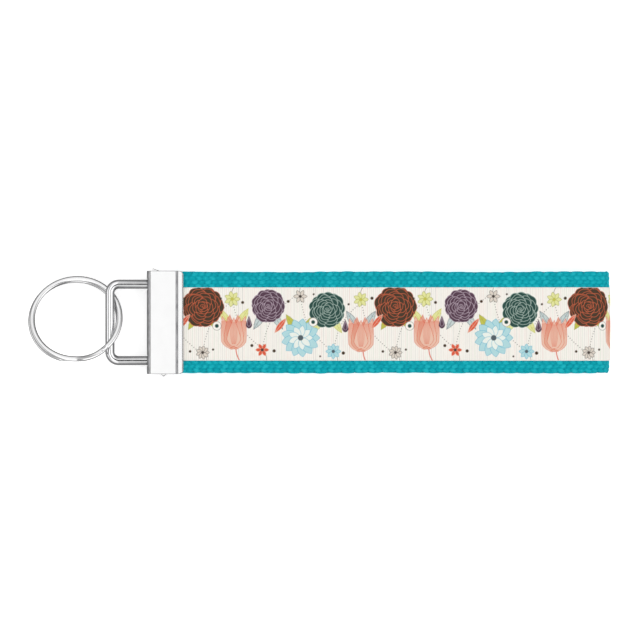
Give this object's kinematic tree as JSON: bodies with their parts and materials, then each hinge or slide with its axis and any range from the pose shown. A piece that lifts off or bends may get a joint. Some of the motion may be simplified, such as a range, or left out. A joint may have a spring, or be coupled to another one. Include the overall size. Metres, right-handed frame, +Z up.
{
  "type": "wristlet keychain",
  "caption": "Folded webbing wrist strap with a printed ribbon sewn along it, a toothed metal end clamp, a hinged wire bail and a split ring for keys.",
  "frame": {"origin": "bottom centre of the whole keychain lying flat", "axes": "+X from the ring to the fold of the strap, +Y across the strap, +Z up out of its printed face"},
  "size_m": [0.181, 0.034, 0.0138],
  "materials": {
    "ring": "bright nickel plate",
    "bail": "bright nickel plate",
    "clamp": "bright nickel plate",
    "webbing": "matt woven cotton webbing",
    "ribbon": "soft satin ribbon with a printed floral pattern",
    "thread": "polyester thread"
  },
  "bodies": {
    "clamp": {"clamp": "clamp", "upper_end_webbing": "webbing", "upper_end_ribbon": "ribbon", "upper_end_thread_right": "thread", "upper_end_thread_left": "thread", "lower_end_webbing": "webbing", "lower_end_ribbon": "ribbon", "lower_end_thread_right": "thread", "lower_end_thread_left": "thread"},
    "bail": {"bail": "bail"},
    "split_ring": {"split_ring": "ring"},
    "strap_base": {"upper_base_webbing": "webbing", "upper_base_ribbon": "ribbon", "upper_base_thread_right": "thread", "upper_base_thread_left": "thread", "lower_base_webbing": "webbing", "lower_base_ribbon": "ribbon", "lower_base_thread_right": "thread", "lower_base_thread_left": "thread"},
    "upper_near": {"upper_near_webbing": "webbing", "upper_near_ribbon": "ribbon", "upper_near_thread_right": "thread", "upper_near_thread_left": "thread"},
    "upper_mid": {"upper_mid_webbing": "webbing", "upper_mid_ribbon": "ribbon", "upper_mid_thread_right": "thread", "upper_mid_thread_left": "thread"},
    "upper_far": {"upper_far_webbing": "webbing", "upper_far_ribbon": "ribbon", "upper_far_thread_right": "thread", "upper_far_thread_left": "thread"},
    "upper_tip": {"upper_tip_webbing": "webbing", "upper_tip_ribbon": "ribbon", "upper_tip_thread_right": "thread", "upper_tip_thread_left": "thread"},
    "lower_near": {"lower_near_webbing": "webbing", "lower_near_ribbon": "ribbon", "lower_near_thread_right": "thread", "lower_near_thread_left": "thread"},
    "lower_mid": {"lower_mid_webbing": "webbing", "lower_mid_ribbon": "ribbon", "lower_mid_thread_right": "thread", "lower_mid_thread_left": "thread"},
    "lower_far": {"lower_far_webbing": "webbing", "lower_far_ribbon": "ribbon", "lower_far_thread_right": "thread", "lower_far_thread_left": "thread"},
    "lower_tip": {"lower_tip_webbing": "webbing", "lower_tip_ribbon": "ribbon", "lower_tip_thread_right": "thread", "lower_tip_thread_left": "thread"}
  },
  "joints": [
    {"name": "bail_swing", "type": "hinge", "parent": "clamp", "child": "bail", "pos_m": [-0.05135, 0, 0.00515], "axis": [0, 1, 0], "range_deg": [-25, 10]},
    {"name": "ring_swing", "type": "hinge", "parent": "bail", "child": "split_ring", "pos_m": [-0.0655, 0, 0.00708], "axis": [0, 1, 0], "range_deg": [-70, 110]},
    {"name": "strap_bend", "type": "hinge", "parent": "clamp", "child": "strap_base", "pos_m": [-0.038, 0, 0.00515], "axis": [0, -1, 0], "range_deg": [-35, 35], "stiffness_Nm_per_rad": 0.04},
    {"name": "loop_open", "type": "hinge", "parent": "strap_base", "child": "upper_near", "pos_m": [-0.029, 0, 0.0068], "axis": [0, -1, 0], "range_deg": [0, 50], "stiffness_Nm_per_rad": 0.01},
    {"name": "upper_mid_bend", "type": "hinge", "parent": "upper_near", "child": "upper_mid", "pos_m": [0.009, 0, 0.0068], "axis": [0, -1, 0], "range_deg": [-50, 0]},
    {"name": "upper_far_bend", "type": "hinge", "parent": "upper_mid", "child": "upper_far", "pos_m": [0.04735, 0, 0.00715], "axis": [0, -1, 0], "range_deg": [-50, 0]},
    {"name": "upper_tip_bend", "type": "hinge", "parent": "upper_far", "child": "upper_tip", "pos_m": [0.08535, 0, 0.00715], "axis": [0, -1, 0], "range_deg": [0, 50]},
    {"name": "lower_near_bend", "type": "hinge", "parent": "strap_base", "child": "lower_near", "pos_m": [-0.029, 0, 0.0035], "axis": [0, -1, 0], "range_deg": [-50, 0]},
    {"name": "lower_mid_bend", "type": "hinge", "parent": "lower_near", "child": "lower_mid", "pos_m": [0.009, 0, 0.0035], "axis": [0, -1, 0], "range_deg": [0, 50]},
    {"name": "lower_far_bend", "type": "hinge", "parent": "lower_mid", "child": "lower_far", "pos_m": [0.04735, 0, 0.00315], "axis": [0, -1, 0], "range_deg": [0, 50]},
    {"name": "lower_tip_bend", "type": "hinge", "parent": "lower_far", "child": "lower_tip", "pos_m": [0.08535, 0, 0.00315], "axis": [0, -1, 0], "range_deg": [-50, 0]}
  ],
  "couplings": [
    {"joint": "upper_mid_bend", "follows": "loop_open", "ratio": -1},
    {"joint": "upper_far_bend", "follows": "loop_open", "ratio": -1},
    {"joint": "upper_tip_bend", "follows": "loop_open", "ratio": 1},
    {"joint": "lower_near_bend", "follows": "loop_open", "ratio": -1},
    {"joint": "lower_mid_bend", "follows": "loop_open", "ratio": 1},
    {"joint": "lower_far_bend", "follows": "loop_open", "ratio": 1},
    {"joint": "lower_tip_bend", "follows": "loop_open", "ratio": -1}
  ]
}
